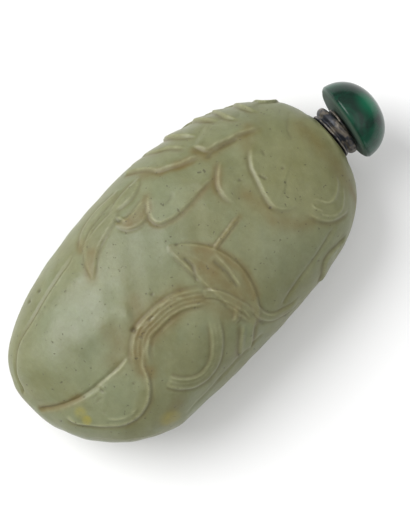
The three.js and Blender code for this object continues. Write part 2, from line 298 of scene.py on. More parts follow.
# Free edges of leaves: trail with the leaf on its left, rise, the length over which the leaf sinks back,
# how brown its foot is, and its taper at the start and the end of the trail
leaf_edges = [
    (Trail([(-12.1, 45.2), (-10.8, 45.9), (-9.8, 46.4), (-9.3, 48.1), (-8.6, 49.9), (-8, 51.7),
            (-7.2, 53.5), (-6.3, 55.4)]),
     0.34, 6, 0.7, (1.5, 3)),
    (Trail([(-16.5, 35.3), (-15.6, 36.7), (-14.2, 38.1), (-12.8, 38.9), (-12, 40.4), (-11.2, 41.8),
            (-10.5, 43.7), (-9.7, 45.5)]),
     0.32, 6, 0.9, (0.5, 2)),
    (Trail([(-11.4, 57.4), (-10.1, 57.7), (-9.2, 58.6), (-8.5, 59.6), (-8, 60.6)]), 0.35, 2.5, 0.3, (0, 2)),
    (Trail([(-13.9, 54.3), (-13, 54.9), (-12.3, 55.1), (-11.2, 55.3), (-9.6, 55.8),
            (-8.4, 56.8)]), 0.5, 4, 0.4, (0, 3)),
    (Trail([(-15.1, 51.5), (-14.2, 51.9), (-12.7, 52.2), (-11.4, 52.4), (-10.1, 53.1),
            (-9.1, 54.1)]), 0.5, 4, 0.4, (0, 3)),
    (Trail([(-15.8, 48.3), (-15, 49), (-13.9, 49.7), (-12.7, 50.6), (-11.5, 51.2)]), 0.5, 4, 0.5, (0, 2.5)),
    (Trail([(-16.4, 43.8), (-15.2, 44.6), (-14.1, 45.5), (-13.1, 46.5),
            (-12.1, 47.2)]), 0.5, 4, 0.5, (0, 2.5)),
    (Trail([(-16.6, 39.8), (-15.3, 41.2), (-14.3, 42.8), (-13.1, 43.8),
            (-11.8, 44.7)]), 0.3, 2.5, 0.4, (0, 2)),
    (Trail([(-5.5, 51.6), (-4.3, 50.2), (-2.8, 49.1), (-0.9, 48.4), (1.3, 47.6), (3.5, 47.2), (5, 47.9),
            (6, 49.5), (6.1, 51.5)]),
     0.3, 7, 0.3, (2, 7)),
    (Trail([(-7.2, 47), (-6.3, 45.4), (-5, 43.9), (-3.8, 43.2), (-2.2, 43),
            (-0.5, 43.4)]), 0.26, 6, 0.6, (2, 2.5)),
    (Trail([(-11.5, 35.5), (-10, 34), (-8.9, 33.2), (-7.8, 32.8), (-6.7, 33.1), (-6.1, 34.3),
            (-5.7, 35.9), (-5.7, 38.3), (-6, 41.8), (-5.9, 44.3)]),
     0.24, 3, 1.0, (2, 3)),
    (Trail([(7.6, 50.3), (9.3, 50.7), (10.9, 51.9), (11.6, 53.8), (11.8, 56)]), 0.25, 3, 0.4, (2, 2)),
    (Trail([(3.6, 2.7), (5.1, 3.1), (6.4, 3.9), (7.8, 5), (9, 6.2), (10.2, 7.6), (11, 9), (11.4, 10.4),
            (11.3, 11.8), (10.8, 13.3), (9.7, 14.6), (8.3, 15.6), (6.6, 16.3)]),
     0.3, 2.4, 0.35, (2, 3)),
    (Trail([(12.6, 7.3), (13.8, 8.9), (14.6, 10.1), (15.5, 11.6)]), 0.45, 6, 0.5, (0, 2)),
    (Trail([(13.9, 53.4), (14.4, 51.4), (14.5, 49.2), (14.9, 47.4), (15.7, 46.1),
            (16.2, 44.6)]), 0.36, 4, 0.4, (2, 1)),
    (Trail([(15.9, 30.4), (15.2, 31.2), (14.4, 32.1), (13.6, 33.4), (12.8, 34.5)]), 0.36, 2.2, 0.8, (0, 2)),
    (Trail([(12.6, 31.6), (13.7, 30.4), (14.6, 29.3), (15.6, 28.3)]), 0.3, 1.6, 0.5, (1.5, 0)),
]

# Leaf blades with a sunk middle vein: trail, half-width, rise, and how brown the blade is
blades = [
    (Trail([(-2.4, 31.8), (0.1, 32.9), (2.8, 33.8), (6.1, 34.3), (9.6, 34.1),
            (13.8, 33.2)]), 2.9, 0.28, 0.4),
    (Trail([(-14.1, 36), (-13.5, 33.4), (-13.4, 31.4), (-13.3, 29.4)]), 1.0, 0.3, 0.1),
    (Trail([(-15.1, 32.5), (-15, 30.1), (-14.9, 28.1), (-14.6, 25.9), (-13.9, 24),
            (-12.6, 22.2)]), 0.75, 0.26, 0.1),
    (Trail([(-13, 30.4), (-12.5, 27.9), (-12.1, 25.5), (-11.5, 23.7), (-10.3, 22.1),
            (-8, 20.3)]), 1.2, 0.24, 0.15),
    (Trail([(-11, 34.6), (-10, 32.7), (-9.7, 31.2), (-10.2, 29.6), (-11.2, 28.7)]), 1.2, 0.26, 0.5),
    (Trail([(-9, 54), (-11.5, 44), (-12, 34)], -1), 4.2, 0.5, 0),
    (Trail([(4.2, 30.5), (9, 24), (10.5, 14)], -1), 4.0, 0.5, 0),
    (Trail([(-9, 55), (0, 57), (9, 52)], -1), 4.0, 0.5, 0),
]

# Vine and tendrils, which are flat straps: trail, half-width, rise, places of the lines cut along it,
# taper at its start and end, and how brown its skin is
straps = [
    (Trail([(1, 42.6), (1.3, 40.6), (1.6, 38.7), (1.8, 37.3), (2.1, 35.7)]), 0.3, 0.14, (), (2, 1), 0.8),
    (Trail([(11.5, 34.7), (13.4, 34.4), (14.8, 35.1), (15.6, 36.6), (16.1, 38.7), (16.2, 41.2)]),
     0.6, 0.22, (), (2, 3), 0.2),
    (Trail([(5.3, 30), (6.7, 31.4), (8.1, 32.2), (10, 32.9), (11.8, 33.4), (13.5, 33.3)]), 0.6, 0.22, (),
            (1, 2), 0),
    (Trail([(10, 32.8), (11, 32.1), (11.7, 31.2), (11.8, 30.2)]), 0.4, 0.15, (), (1, 1), 0),
    (Trail([(8.9, 29), (11.2, 27.5), (13, 25.8), (14, 24.2), (14.3, 22.5), (14.2, 21.2), (13.5, 19.6),
            (12.3, 18.2), (11, 17.4)]),
     0.9, 0.2, (-0.35, 0.3), (2.5, 0.3), 0.1),
    (Trail([(6.2, 30.3), (4.9, 28.5), (3.9, 26.6), (3.4, 24.4), (3.3, 22.1), (3.4, 19.9), (4.2, 18.4),
            (5.4, 17.1), (7.3, 15.9)]),
     1.3, 0.2, (-0.6, 0.1, 0.7), (1.5, 3), 0.9),
    (Trail([(-9, 54), (-3, 42), (4, 30), (2, 18), (-6, 9)], -1), 1.0, 0.4, (-0.4, 0.4), (3, 3), 0.3),
]

# Fine raised lines along the edges of curls and of the low leaf: trail, half-width, rise
ridges = [
    (Trail([(6.7, 58.2), (7.8, 57.4), (8.7, 56.1), (9.1, 54.9), (8.9, 53.9), (8.1, 53.3), (7.3, 52.8),
            (7.1, 52.2)]), 0.22, 0.15),
    (Trail([(8.6, 57.9), (9.7, 57), (10.6, 55.7), (11, 54.4), (10.8, 53.1), (9.9, 52.1),
            (8.9, 51.6)]), 0.2, 0.12),
    (Trail([(7, 52), (8, 51.7), (9.1, 52.2), (9.8, 52.3)]), 0.22, 0.12),
    (Trail([(4, 8.7), (4.3, 10.8), (4.6, 12.7), (4.6, 14.1), (4.3, 15.7)]), 0.22, 0.15),
    (Trail([(3.4, 2.7), (5.1, 3.1), (6.4, 3.9), (7.8, 5), (9, 6.2), (10.2, 7.6), (11, 9), (11.4, 10.4),
            (11.3, 11.8), (10.8, 13.3), (9.7, 14.6), (8.3, 15.6), (6.6, 16.3), (5.3, 18), (4.6, 20.3)]),
     0.28, 0.15),
    (Trail([(10.3, 11.5), (10.5, 10.1), (10.1, 8.9), (9.3, 7.8), (8.2, 6.8)]), 0.22, 0.12),
    (Trail([(2.2, 19), (2.6, 21.3), (2.9, 23.2), (2.5, 24.7), (3, 26.3), (3.9, 27.9)]), 0.2, 0.1),
    (Trail([(2.2, 35.8), (4, 35.7), (5.7, 35.6), (7.4, 35.3), (9, 35)]), 0.25, 0.12),
    (Trail([(-12.4, 29.4), (-11.3, 29.7), (-10, 29.9)]), 0.2, 0.15),
    (Trail([(-13.8, 26.2), (-13.1, 24.4), (-12.4, 22.8), (-11.4, 21.4)]), 0.2, 0.12),
]

# Soft creases that facet the front lobe: trail, rise, width on the left and on the right
creases = [
    (Trail([(-1.5, 9.4), (-1.7, 11.8), (-2, 15.1), (-2.1, 18.5), (-2.5, 21.7)]), 0.3, 3.6, 1.5),
    (Trail([(-2.7, 21.4), (-0.4, 20.1), (2.3, 18.6)]), 0.3, 0.5, 1.3),
]

# Incised lines: trail, depth, width
cuts = [
    (Trail([(-8.7, 38), (-8.2, 37), (-8.1, 35.8)]), 0.1, 0.2),
    (Trail([(-12, 29), (-11.4, 29.1), (-10.9, 29.4)]), 0.3, 0.25),
    (Trail([(4.3, 9.2), (5.6, 9.2)]), 0.18, 0.22),
    (Trail([(5.7, 8.8), (5.5, 7.1)]), 0.08, 0.18),
    (Trail([(4.9, 8.5), (4.9, 7.1)]), 0.08, 0.18),
    (Trail([(7.1, 7.5), (7.8, 7)]), 0.1, 0.18),
    (Trail([(-5.7, 59.9), (-3.5, 57.5), (-1.7, 57)]), 0.08, 0.3),
    (Trail([(2.9, 34.8), (4.3, 34.9), (5.9, 35.1), (7, 34.9), (8.7, 34.7)]), 0.16, 0.26),
    (Trail([(-0.5, 31.9), (1.4, 32), (2.5, 31.4), (3.8, 30.9)]), 0.22, 0.25),
    (Trail([(13.9, 33.4), (15.2, 34)]), 0.16, 0.22),
    (Trail([(-1.5, 49), (0.2, 49.4)]), 0.2, 0.2),
    (Trail([(-4, 52.3), (-2.6, 51.9)]), 0.14, 0.2),
    (Trail([(-5.4, 14.4), (-4.7, 14.6)]), 0.1, 0.2),
    (Trail([(-7.7, 51.1), (-8.4, 48.7), (-9, 46.5), (-8.6, 45.3)]), 0.16, 0.4),
]

# Pits and small chips: X, along, radius, depth
pits = [
    (2.1, 19, 0.4, 0.35),
    (2.7, 22.3, 0.2, 0.2),
    (2.7, 21.8, 0.22, 0.2),
    (3.5, 19, 0.2, 0.15),
    (6.2, 28.8, 0.15, 0.12),
    (-13.1, 13.3, 0.28, 0.25),
    (-13.1, 11.1, 0.3, 0.28),
    (-2.8, 46.4, 0.2, 0.18),
    (0.4, 52.5, 0.2, 0.18),
    (0.2, 24.7, 0.22, 0.12),
    (7.6, 13.4, 0.16, 0.12),
    (-2.5, 32.6, 0.25, 0.12),
]

# Iron stains that have soaked into the stone: trail, half-width, strength
iron_stains = [
    (Trail([(3, 18.9), (4.1, 17.7), (5.5, 16.5), (7, 15.7), (8.1, 16.1)]), 1.0, 1.3),
    (Trail([(2.7, 20.8), (2.2, 23.2), (2.3, 25.6), (3.1, 28)]), 1.1, 0.8),
    (Trail([(4.8, 19.8), (4.8, 22.2), (5.2, 26.1), (6, 29.4)]), 1.0, 0.7),
    (Trail([(-0.8, 21.9), (1.1, 21.3), (2.1, 19.9)]), 1.5, 0.5),
    (Trail([(0.1, 16.5), (2.4, 15.9), (3.5, 14.1)]), 1.8, 0.45),
    (Trail([(0.3, 34.4), (2.2, 36), (5.7, 37), (9, 36.7), (10.9, 35.8)]), 0.8, 0.8),
    (Trail([(2.3, 33), (5.7, 33.5), (9.5, 33.8)]), 1.4, 0.65),
    (Trail([(7.5, 29.9), (9.9, 30.5), (11.1, 31.5)]), 1.1, 0.35),
    (Trail([(0, 0.7), (1.4, 2.2), (2.4, 3.9), (3.2, 6)]), 0.6, 1.1),
    (Trail([(-6.3, 45.2), (-5.2, 44), (-4, 42.9)]), 0.7, 0.8),
    (Trail([(-11.2, 41.5), (-10.4, 43.2)]), 0.7, 1.1),
    (Trail([(-11.1, 44.8), (-9.7, 45.3)]), 0.6, 0.6),
    (Trail([(-9, 45.5), (-8.5, 47.9), (-7.5, 51.3)]), 0.8, 0.5),
    (Trail([(-7.8, 53.4), (-5.8, 50.8)]), 0.9, 0.5),
    (Trail([(-14, 36.7), (-12.5, 38.8)]), 0.9, 0.5),
    (Trail([(-11.2, 34.8), (-9.4, 33.6)]), 0.7, 0.5),
    (Trail([(-9.9, 30.2), (-9.7, 32.3)]), 0.9, 0.6),
    (Trail([(-10.7, 22.9), (-9.7, 21.3), (-8.1, 20.2)]), 0.8, 0.9),
    (Trail([(-13.4, 22.8), (-12.5, 21.9)]), 0.6, 0.6),
    (Trail([(-0.6, 45.6), (2.8, 45.9), (5.2, 45.7), (7.6, 47.5), (9.1, 49.6)]), 1.1, 0.5),
    (Trail([(1.2, 42.4), (1.7, 38.7), (1.8, 36.7)]), 0.5, 0.5),
    (Trail([(-2.4, 59.2), (1.6, 59.3), (5.4, 59.5), (9.3, 59.1)]), 1.4, 0.4),
    (Trail([(9.3, 59.1), (11.6, 58.5)]), 0.7, 0.7),
    (Trail([(14.2, 16.1), (14.8, 13.2)]), 1.2, 0.4),
]


# Soft marks beside a carved line: strength, place to the left of the line, width
# Undercuts sink the skin and also set how much shade is painted into the colour there
leaf_undercut = (0.1, -0.4, 0.3)
leaf_stain = (1.0, -0.45, 0.5)
# Rubbing marks paint a paler line: partly rubbed wear, partly a painted highlight where the edge catches the
# light
leaf_rub_highlight = (0.6, 0.1, 0.16)
groove_cut = (0.3, 0, 0.34)
groove_stain = (0.3, 0, 0.4)
groove_rub_highlight = (0.3, -0.6, 0.2)
strap_line = (0.07, 0, 0.14)
strap_line_rub_highlight = (0.35, 0.22, 0.13)

# The same beside a blade's outline, with the place measured outwards, and on its middle vein
blade_undercut = (0.08, 0.25, 0.25)
blade_stain = (0.25, 0.3, 0.35)
blade_rub_highlight = (0.4, -0.2, 0.18)
vein_rub_highlight = (0.15, 0, 0.15)

# Where the step up to a leaf starts and ends, and the curves of leaf and blade
leaf_step = (-0.25, 0.2)
leaf_fall_power = 1.2
blade_step = (-0.2, 0.25)
blade_bluntness = 0.05
blade_swell = 0.75
vein_height = 0.65
blade_taper = 1

# A strap's flat top, slope, foot, stain and rubbed edge with its painted highlight, as shares of its
# half-width or in mm
strap_flat, strap_reach = 0.8, 1.15
strap_foot, strap_foot_width, strap_undercut, strap_foot_stain = 1.3, 0.22, 0.08, 0.3
strap_stain, strap_stain_reach = 0.5, 1.2
strap_rub_highlight, strap_rub_highlight_at, strap_rub_highlight_width = 0.45, 0.85, 0.16

# Ridge crests take a paler line too, partly rubbed and partly a painted highlight
ridge_rub_highlight, ridge_rub_highlight_share, ridge_taper = 0.7, 0.8, 1
groove_valley, groove_rounding, groove_width = 0.5, 0.5, 3.2
crease_taper, cut_taper = 3, 0.6
vine_cover = (0.02, 0.14)
# Painted shade: the depth of recess, cut and pit that takes the full painted darkening
full_shade_depth, full_shade_cut, pit_shade = 0.25, 0.2, 1.8
iron_strength = 1.5


def line(distance, width):
    return np.exp(-(distance / width) ** 2)


def mark(distance, strength, place, width):
    return strength * line(distance - place, width)


def hand_waves(places):
    """The slow swell and the finer ripple that grinding by hand leaves."""
    x, y, z = places.T
    swell = np.sin(x * 0.55 + 1.3 * np.sin(y * 0.21)) * np.sin(y * 0.37 + 0.8 * np.sin(z * 0.4) + 1)
    ripple = np.sin(x * 1.1 + y * 0.5) * np.sin(y * 0.9 - z * 0.8)
    return 0.08 * swell + 0.05 * ripple


def carve(places, normals):
    """How far the carving lifts or sinks the skin, its russet, the shade painted into its recesses, and its
    rubbed, paler lines, which partly paint a highlight.
    """
    count = len(places)
    raised, ground, vine, sunk = np.zeros((4, count))
    russet, rub_and_highlight = np.zeros((2, count))
    for trail, rise, fall, brown, (start, end) in leaf_edges:
        _, aside, travelled = trail.locate(places, normals)
        fade = trail.fade(travelled, start, end)
        sinking = np.maximum(1 - np.maximum(aside, 0) / fall, 0) ** leaf_fall_power
        raised = np.maximum(raised, rise * fade * sinking * smooth(*leaf_step, aside))
        ground = np.minimum(ground, -fade * mark(aside, *leaf_undercut))
        russet += brown * fade * mark(aside, *leaf_stain)
        rub_and_highlight += fade * mark(aside, *leaf_rub_highlight)
    for trail, half, rise, brown in blades:
        gap, _, travelled = trail.locate(places, normals)
        share = blade_bluntness + (1 - 2 * blade_bluntness) * travelled / trail.length
        outside = gap - half * np.sin(np.pi * share) ** blade_swell
        inside = smooth(*blade_step, -outside)
        cupped = vein_height + (1 - vein_height) * np.minimum(gap / half, 1) ** 2
        raised = np.maximum(raised, rise * cupped * inside)
        rim = trail.fade(travelled, blade_taper, blade_taper)
        ground = np.minimum(ground, -rim * mark(outside, *blade_undercut))
        russet += brown * inside + rim * mark(outside, *blade_stain)
        rub_and_highlight += rim * (mark(outside, *blade_rub_highlight) + mark(gap, *vein_rub_highlight))
    for trail, half, rise, lines, (start, end), brown in straps:
        gap, aside, travelled = trail.locate(places, normals, within=4)
        fade = trail.fade(travelled, start, end)
        strap = rise * fade * (1 - smooth(strap_flat * half, strap_reach * half, gap))
        for place in lines:
            strap -= fade * mark(aside - place, *strap_line) * (gap < half)
            rub_and_highlight += fade * mark(aside - place, *strap_line_rub_highlight)
        vine = np.maximum(vine, strap)
        foot = fade * line(gap - strap_foot * half, strap_foot_width)
        ground = np.minimum(ground, -strap_undercut * foot)
        russet += fade * brown * strap_stain * line(gap, strap_stain_reach * half) + strap_foot_stain * foot
        rub_and_highlight += strap_rub_highlight * fade * line(gap - strap_rub_highlight_at * half, strap_rub_highlight_width)
    for trail, half, rise in ridges:
        gap, _, travelled = trail.locate(places, normals, within=3)
        fade = trail.fade(travelled, ridge_taper, ridge_taper)
        vine = np.maximum(vine, rise * fade * line(gap, half))
        rub_and_highlight += ridge_rub_highlight * fade * line(gap, ridge_rub_highlight_share * half)
    for trail, depth, fade_length in lobe_grooves:
        gap, aside, travelled = trail.locate(places, normals)
        fade = depth * smooth(0, fade_length, trail.length - travelled)
        valley = groove_valley * np.exp(-np.hypot(gap, groove_rounding) / groove_width)
        sunk = np.maximum(sunk, fade * (valley + mark(gap, *groove_cut)))
        russet += fade * mark(gap, *groove_stain)
        rub_and_highlight += fade * mark(aside, *groove_rub_highlight)
    height = raised + vine - sunk + ground * (1 - smooth(*vine_cover, vine))
    for trail, rise, left_width, right_width in creases:
        _, aside, travelled = trail.locate(places, normals)
        width = np.where(aside > 0, left_width, right_width)
        height += rise * trail.fade(travelled, crease_taper, crease_taper) * line(aside, width)
    # Painted shade: undercuts, cuts and pits are darkened in colour as if shade lay in them
    dirt = np.clip(-ground / full_shade_depth, 0, 1)
    for trail, depth, width in cuts:
        gap, _, travelled = trail.locate(places, normals, within=3)
        cut = trail.fade(travelled, cut_taper, cut_taper) * line(gap, width)
        height -= depth * cut
        dirt = np.maximum(dirt, cut * depth / full_shade_cut)
    for x, along, radius, depth in pits:
        centre = face_point(np.array([x]), np.array([along]))[0]
        pit = line(np.linalg.norm(places - centre, axis=1), radius)
        height -= depth * pit
        dirt = np.maximum(dirt, pit_shade * pit)
    for trail, half, strength in iron_stains:
        russet += iron_strength * strength * line(trail.locate(places, normals, within=5)[0], half)
    height += hand_waves(places)
    return height, {"russet": 1 - np.exp(-russet), "dirt": dirt.clip(0, 1), "rub_and_highlight": rub_and_highlight.clip(0, 1)}


def even_rows(rows):
    """The share of the body's length at each row, evenly spaced over the skin."""
    samples = 1201
    s = 0.5 - 0.5 * np.cos(np.pi * np.linspace(0, 1, samples))
    mean = (half_size(left_side, s) + half_size(right_side, s) + 2 * half_size(front_face, s)) / 4
    walked = np.concatenate([[0], np.cumsum(np.hypot(np.diff(mean), np.diff(body_length * s)))])
    return np.interp(np.linspace(0, walked[-1], rows + 1)[1:], walked, s)


def mouth_ring(turns, radius, height):
    x = radius * np.sin(turns)
    centre_x = axis_x_at_mouth + height * math.sin(mouth_lean)
    y = base_y + body_length + height - math.tan(mouth_lean) * x
    return np.stack([centre_x + x, y, axis_height + radius * np.cos(turns)], -1)


def hollow_ring(turns, share):
    along = hollow_from + (hollow_to - hollow_from) * (0.5 + 0.5 * math.cos(math.pi * share))
    middle = (hollow_from + hollow_to) / 2
    swell = math.sqrt(max(1 - (abs(along - middle) / (middle - hollow_from)) ** hollow_fullness, 0))
    neck = bore_radius * ((along - middle) / (hollow_to - middle)) ** neck_narrowing if along > middle else 0
    across = math.hypot((left_side[0] - wall - carving_allowance) * swell, neck)
    up = math.hypot((front_face[0] - wall - carving_allowance) * swell, neck)
    x = axis_x(along / body_length) + across * np.sin(turns)
    return np.stack([x, np.full(len(turns), base_y + along), axis_height + up * np.cos(turns)], -1)


even_turns = np.arange(outer_columns) / outer_columns * 2 * np.pi - np.pi
turns = even_turns - front_crowding * np.sin(even_turns)
rows = even_rows(outer_rows)
turn_grid, row_grid = (grid.ravel() for grid in np.meshgrid(turns, rows))
skin = body_point(turn_grid, row_grid)
skin_normals = body_normal(turn_grid, row_grid)
lift, stains = carve(skin, skin_normals)
base_fade, mouth_fade = 0.015, 0.012
end_fade = smooth(0, base_fade, row_grid) * smooth(0, mouth_fade, 1 - row_grid)
skin = skin + skin_normals * (lift * end_fade)[:, None]
skin[:, 2] = np.maximum(skin[:, 2], 0)

every_third = turns[::outer_columns // hollow_columns]
rings = list(skin.reshape(outer_rows, outer_columns, 3))
lip_rounding = ((4.95, 0.16), (4.7, 0.3))
mouth_bevel = 0.25
mouth_bevel_depth = 0.3
for radius, height in (*lip_rounding, (lip_radius, lip_height), (bore_radius + mouth_bevel, lip_height)):
    rings.append(mouth_ring(turns, radius, height))
rings.append(mouth_ring(every_third, bore_radius, lip_height - mouth_bevel_depth))
for row in range(hollow_rows):
    rings.append(hollow_ring(every_third, row / hollow_rows))

base_pole = body_point(np.zeros(1), np.zeros(1))
hollow_pole = hollow_ring(np.zeros(1), 1.0)
points = np.concatenate([base_pole, *rings, hollow_pole])
faces = []
start = 1
for i in range(outer_columns):
    faces.append((0, start + (i + 1) % outer_columns, start + i)[::-1])
for ring, following in zip(rings, rings[1:]):
    count, next_count = len(ring), len(following)
    next_start = start + count
    fan = count // next_count
    for i in range(next_count):
        here = [start + (fan * i + k) % count for k in range(fan + 1)]
        faces.append((*here, next_start + (i + 1) % next_count, next_start + i))
    start = next_start
for i in range(len(rings[-1])):
    faces.append((start + i, start + (i + 1) % len(rings[-1]), len(points) - 1))

bottle_mesh = bpy.data.meshes.new("bottle_jade")
bottle_mesh.from_pydata((points * MM).tolist(), [], faces)
bottle_mesh.polygons.foreach_set("use_smooth", [True] * len(faces))
unstained = np.zeros(len(points) - 1 - outer_columns * outer_rows)
for name, values in stains.items():
    layer = bottle_mesh.attributes.new(name, "FLOAT", "POINT")
    layer.data.foreach_set("value", np.concatenate([[0], values, unstained]))
bottle_mesh.update()
bottle = bpy.data.objects.new("bottle_jade", bottle_mesh)
bpy.context.collection.objects.link(bottle)


class Wiring:
    """A short way to add and join the nodes of one tree."""

    def __init__(self, tree):
        self.tree = tree

    def node(self, kind, settings=None, **inputs):
        node = self.tree.nodes.new(kind)
        for name, value in (settings or {}).items():
            setattr(node, name, value)
        for name, value in inputs.items():
            key = int(name[1:]) if name[1:].isdigit() else name.replace("_", " ")
            self.feed(node.inputs[key], value)
        return node

    def feed(self, socket, value):
        if isinstance(value, bpy.types.NodeSocket):
            self.tree.links.new(value, socket)
        else:
            socket.default_value = value

    def math(self, operation, *values):
        node = self.tree.nodes.new("ShaderNodeMath")
        node.operation = operation
        for socket, value in zip(node.inputs, values):
            self.feed(socket, value)
        return node.outputs[0]

    def blend(self, share, first, second):
        node = self.tree.nodes.new("ShaderNodeMix")
        node.data_type = "RGBA"
        self.feed(node.inputs[0], share)
        self.feed(node.inputs[6], first)
        self.feed(node.inputs[7], second)
        return node.outputs[2]

    def noise(self, place, scale, detail=4.0, roughness=0.55, distortion=0.0):
        return self.node("ShaderNodeTexNoise", Vector=place, Scale=scale, Detail=detail,
                         Roughness=roughness, Distortion=distortion).outputs["Fac"]

    def ramp(self, value, low, high):
        node = self.node("ShaderNodeMapRange", {"interpolation_type": "SMOOTHSTEP"}, Value=value)
        node.inputs["From Min"].default_value = low
        node.inputs["From Max"].default_value = high
        return node.outputs["Result"]

    def spot(self, place, centre, radius, softness=0.5):
        distance = self.node("ShaderNodeVectorMath", {"operation": "DISTANCE"}, _0=place,
                             _1=[c * MM for c in centre]).outputs["Value"]
        return self.ramp(distance, radius * MM, radius * MM * softness)


jade_green = (0.148, 0.151, 0.066, 1)
jade_milky = (0.172, 0.190, 0.102, 1)
jade_clear_and_highlight = (0.165, 0.198, 0.132, 1)
jade_warm = (0.165, 0.162, 0.060, 1)
jade_fleck = (0.235, 0.243, 0.130, 1)
jade_grain = (0.105, 0.108, 0.045, 1)
iron_brown = (0.130, 0.082, 0.012, 1)
# Colour of the shade painted into recesses, cuts and pits
cavity_shade_colour = (0.06, 0.045, 0.02, 1)
# Colour of the paler lines: partly rubbed jade, partly a painted highlight
rub_and_highlight_jade = (0.34, 0.34, 0.20, 1)
yellow_skin = (0.28, 0.24, 0.025, 1)
dark_speck = (0.05, 0.04, 0.02, 1)

# Where the stone is clear, warm or yellow: centre, radius, strength. The first two clear pools paint a
# highlight on the lit left of the front lobe; the third is a bluer tone of the stone
clear_and_highlight_pools = (((-5, -22, 21), 9, 0.7), ((-6, -6, 22), 9, 0.6), ((9, 8, 22), 9, 0.35))
warm_zone = ((3, 20, 21), 15, 0.7)
yellow_patches = (((6.3, -31.2, 17.6), 1.1, 1.0), ((4.8, -31, 17.8), 1.4, 0.5),
                ((14.9, -22, 16.4), 2.3, 0.6))


def jade_material():
    material = bpy.data.materials.new("celadon_jade")
    material.use_nodes = True
    wire = Wiring(material.node_tree)
    shader = material.node_tree.nodes["Principled BSDF"]
    place = wire.node("ShaderNodeTexCoord").outputs["Object"]
    grain = wire.ramp(wire.noise(place, 900, 6, 0.7), 0.3, 0.7)
    cloud = wire.ramp(wire.noise(place, 75, 6, 0.6, 0.8), 0.38, 0.64)
    mottle = wire.ramp(wire.noise(place, 300, 5, 0.65), 0.32, 0.72)

    def zone(centre, radius, strength, softness):
        return wire.math("MULTIPLY", wire.spot(place, centre, radius, softness), strength)

    body = wire.blend(cloud, jade_green, jade_milky)
    # Paler, bluer pools: partly the stone's clearer tone, partly a painted highlight on the lit left lobe
    for pool in clear_and_highlight_pools:
        share = wire.math("MULTIPLY", zone(*pool, softness=0.1), wire.math("MULTIPLY_ADD", mottle, 0.6, 0.4))
        body = wire.blend(share, body, jade_clear_and_highlight)
    body = wire.blend(zone(*warm_zone, softness=0.3), body, jade_warm)
    body = wire.blend(wire.math("MULTIPLY", mottle, 0.35), body, jade_fleck)
    body = wire.blend(wire.math("MULTIPLY", grain, 0.25), body, jade_grain)
    stain = wire.node("ShaderNodeAttribute", {"attribute_name": "russet"}).outputs["Fac"]
    stain = wire.math("MULTIPLY", stain, wire.math("MULTIPLY_ADD", mottle, -0.5, 1.0))
    coloured = wire.blend(wire.math("MULTIPLY", stain, 0.9), body, iron_brown)
    # Painted shade: recesses, cuts and pits are darkened towards a dark brown
    cavity_shade_share = wire.node("ShaderNodeAttribute", {"attribute_name": "dirt"}).outputs["Fac"]
    coloured = wire.blend(wire.math("MULTIPLY", cavity_shade_share, 0.5), coloured, cavity_shade_colour)
    # Paler lines along edges and crests: partly rubbed wear, partly a painted highlight
    rubbed = wire.node("ShaderNodeAttribute", {"attribute_name": "rub_and_highlight"}).outputs["Fac"]
    rubbed = wire.math("MULTIPLY", rubbed, wire.math("MULTIPLY_ADD", grain, -0.4, 0.65))
    coloured = wire.blend(rubbed, coloured, rub_and_highlight_jade)
    for patch in yellow_patches:
        share = wire.math("MULTIPLY", zone(*patch, softness=0.3), wire.math("MULTIPLY_ADD", mottle, 0.5, 0.5))
        coloured = wire.blend(share, coloured, yellow_skin)
    specks = wire.math("MULTIPLY", wire.ramp(wire.noise(place, 1600, 2, 0.5), 0.68, 0.74), 0.6)
    coloured = wire.blend(specks, coloured, dark_speck)
    wire.feed(shader.inputs["Base Color"], coloured)
    rough = wire.math("MULTIPLY_ADD", stain, 0.15, wire.math("MULTIPLY_ADD", mottle, 0.14, 0.36))
    wire.feed(shader.inputs["Roughness"], rough)
    skin_grain = wire.math("MULTIPLY_ADD", specks, -1.5, wire.noise(place, 1000, 5, 0.65))
    bump = wire.node("ShaderNodeBump", Height=skin_grain, Strength=0.5, Distance=0.0001)
    wire.feed(shader.inputs["Normal"], bump.outputs["Normal"])
    shader.inputs["IOR"].default_value = 1.6
    shader.inputs["Specular IOR Level"].default_value = 0.36
    shader.inputs["Subsurface Weight"].default_value = 0.4
    shader.inputs["Subsurface Radius"].default_value = (1.0, 1.1, 0.7)
    shader.inputs["Subsurface Scale"].default_value = 0.0013
    return material


bottle_mesh.materials.append(jade_material())
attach(bottle, "root")
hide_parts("bottle")


# ---- The stopper's plug -----------------------------------------------------------------------------
# A short tapered cork, cut from bark and pushed into the mouth. It is turned about the mouth's axis,
# as the pieces above it are.

fit_gap = 0.3
weld_distance = 0.000002
seat_place = (axis_x_at_mouth + 0.1, base_y + body_length + lip_height + fit_gap, axis_height)
cork_profile = [(0, -4.4), (2.2, -4.4), (2.42, -4.33), (2.5, -4.1), (2.72, -2.2), (2.95, -0.05), (2.9, 0),
                (0, 0)]


